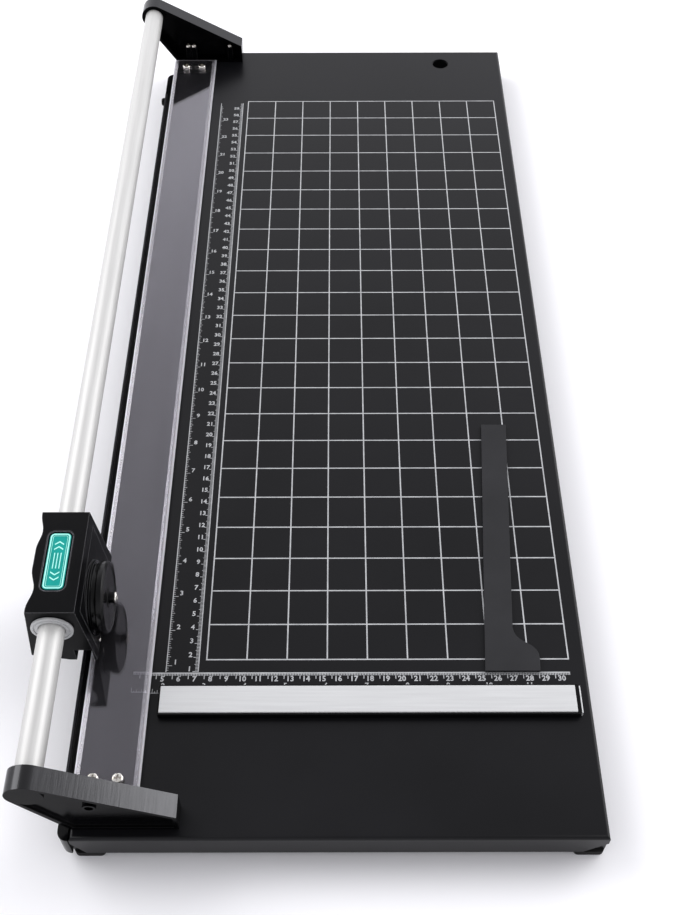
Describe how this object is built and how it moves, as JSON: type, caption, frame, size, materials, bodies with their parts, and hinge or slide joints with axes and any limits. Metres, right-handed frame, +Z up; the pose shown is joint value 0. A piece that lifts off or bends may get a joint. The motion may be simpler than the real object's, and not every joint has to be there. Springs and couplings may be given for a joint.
{
  "type": "rotary paper trimmer",
  "caption": "Tabletop rotary paper trimmer: sliding head with a round blade on a rail, clear clamping strip, printed grid, fence and loose paper stop.",
  "frame": {"origin": "middle of the floor under the part's bounding box", "axes": "+X to the right across the table, +Y away from the front edge along the cut, +Z up"},
  "size_m": [0.3468, 0.7804, 0.0908],
  "materials": {
    "table_paint": "black powder coat, fine satin texture, white printed grid and scales",
    "cast_paint": "black paint over cast metal, satin",
    "tube_steel": "satin ground steel tube",
    "knife_steel": "hardened ground steel",
    "dark_steel": "blackened steel",
    "screw_steel": "bright plated steel",
    "head_plastic": "black satin moulded plastic",
    "gloss_plastic": "black glossy moulded plastic",
    "pale_plastic": "pale grey moulded plastic",
    "rubber": "black rubber, matt",
    "clear_plastic": "clear acrylic, glossy",
    "fence_aluminium": "satin anodised aluminium",
    "stop_paint": "dark grey matt paint",
    "label": "printed green label with a mint border"
  },
  "bodies": {
    "table": {"base_plate": "table_paint", "blade_bed": "cast_paint", "near_bracket": "cast_paint", "far_bracket": "cast_paint", "knife_end_screw": "cast_paint", "fence_carrier": "cast_paint", "guide_tube": "tube_steel", "fixed_knife": "knife_steel", "knife_screw_1": "dark_steel", "knife_screw_2": "dark_steel", "knife_screw_3": "dark_steel", "knife_screw_4": "dark_steel", "bed_screw_1": "screw_steel", "bed_screw_2": "screw_steel", "bed_screw_3": "screw_steel", "near_bracket_screw_1": "screw_steel", "near_bracket_screw_2": "screw_steel", "near_bracket_screw_3": "screw_steel", "far_bracket_screw_1": "screw_steel", "far_bracket_screw_2": "screw_steel", "far_bracket_screw_3": "screw_steel", "near_tube_screw": "screw_steel", "far_tube_screw": "screw_steel", "strip_screw_near_1": "screw_steel", "strip_screw_near_2": "screw_steel", "strip_screw_far_1": "screw_steel", "strip_screw_far_2": "screw_steel", "fence_screw_1": "screw_steel", "fence_screw_2": "screw_steel", "foot_front_left": "rubber", "foot_front_right": "rubber", "foot_back_left": "rubber", "foot_back_right": "rubber", "strip_pad_near": "rubber", "strip_pad_far": "rubber", "clear_strip": "clear_plastic", "fence": "fence_aluminium", "fence_end_plate": "fence_aluminium"},
    "head": {"head_body": "head_plastic", "blade_cover": "head_plastic", "blade_drum": "gloss_plastic", "blade_spring": "screw_steel", "label_plate": "label", "near_bush": "pale_plastic", "far_bush": "pale_plastic", "cover_screw_1": "screw_steel", "cover_screw_2": "screw_steel"},
    "blade": {"rotary_blade": "knife_steel", "blade_hub": "dark_steel", "blade_nut": "dark_steel", "blade_axle": "screw_steel", "spring_washer": "screw_steel"},
    "stop": {"paper_stop": "stop_paint", "stop_magnet_1": "dark_steel", "stop_magnet_2": "dark_steel"}
  },
  "joints": [
    {"name": "head_slide", "type": "slide", "parent": "table", "child": "head", "axis": [0, 1, 0], "range_m": [-0.089, 0.574]},
    {"name": "blade_spin", "type": "hinge", "parent": "head", "child": "blade", "pos_m": [-0.14555, -0.24625, 0.0555], "axis": [1, 0, 0], "range_deg": [-1115, 173]},
    {"name": "stop_slide", "type": "slide", "parent": "table", "child": "stop", "axis": [1, 0, 0], "range_m": [-0.207, 0.026]}
  ],
  "couplings": [
    {"joint": "blade_spin", "follows": "head_slide", "rad_per_m": -33.898}
  ]
}
